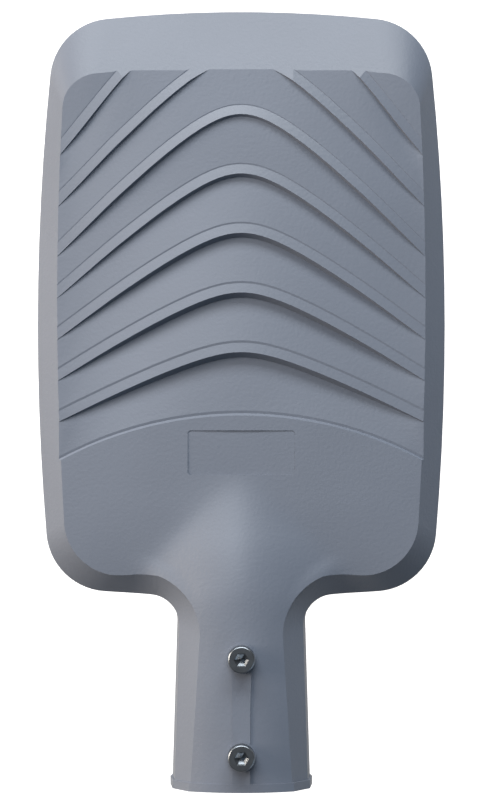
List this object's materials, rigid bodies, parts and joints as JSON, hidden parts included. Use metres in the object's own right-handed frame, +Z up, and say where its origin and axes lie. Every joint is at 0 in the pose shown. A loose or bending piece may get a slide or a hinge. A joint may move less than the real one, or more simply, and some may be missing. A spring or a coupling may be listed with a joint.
{
  "type": "street light head",
  "caption": "Die-cast LED street light head: chevron-terraced back, bevelled rim, and a round pole socket with clamp screws; glazed LED bay and lidded driver bay below.",
  "frame": {"origin": "centre of the pole socket's mouth, on the socket's axis", "axes": "+Y along the socket's axis from its mouth to the head's far end, +Z up to the sky, +X to the right seen from above"},
  "size_m": [0.2052, 0.39, 0.0805],
  "materials": {
    "powder_coat": "fine-textured matt grey powder coat",
    "frame_coat": "fine-textured matt grey powder coat",
    "cover_coat": "fine-textured matt grey powder coat",
    "bolt_steel": "dull zinc-plated steel",
    "stainless": "satin stainless steel",
    "clear_glass": "clear tempered glass",
    "silicone": "matt black silicone",
    "heat_pad": "matt grey-blue heat-conducting pad",
    "board_white": "white solder mask",
    "phosphor": "yellow phosphor under clear resin",
    "clear_acrylic": "clear moulded acrylic",
    "black_nylon": "matt black nylon",
    "driver_case": "satin aluminium case",
    "terminal_nylon": "matt off-white nylon",
    "surge_case": "matt red plastic case",
    "earth_brass": "bright brass"
  },
  "bodies": {
    "root": {"housing": "powder_coat", "clamp_bolts": "bolt_steel", "glass_cover": "clear_glass", "glass_gasket": "silicone", "glass_frame": "frame_coat", "frame_screws": "stainless", "thermal_pad": "heat_pad", "led_board": "board_white", "led_chips": "phosphor", "lens_plate": "clear_acrylic", "lens_screws": "stainless", "driver_cover": "cover_coat", "driver_cover_gasket": "silicone", "cover_screws": "stainless", "vent_plug": "black_nylon", "led_driver": "driver_case", "driver_screws": "stainless", "terminal_block": "terminal_nylon", "terminal_screws": "stainless", "surge_protector": "surge_case", "surge_screws": "stainless", "earth_washer": "earth_brass", "earth_screw": "earth_brass", "gland_body": "black_nylon", "gland_nut": "black_nylon", "gland_seal": "silicone", "gland_locknut": "black_nylon", "wire_grommet": "silicone"}
  },
  "joints": []
}
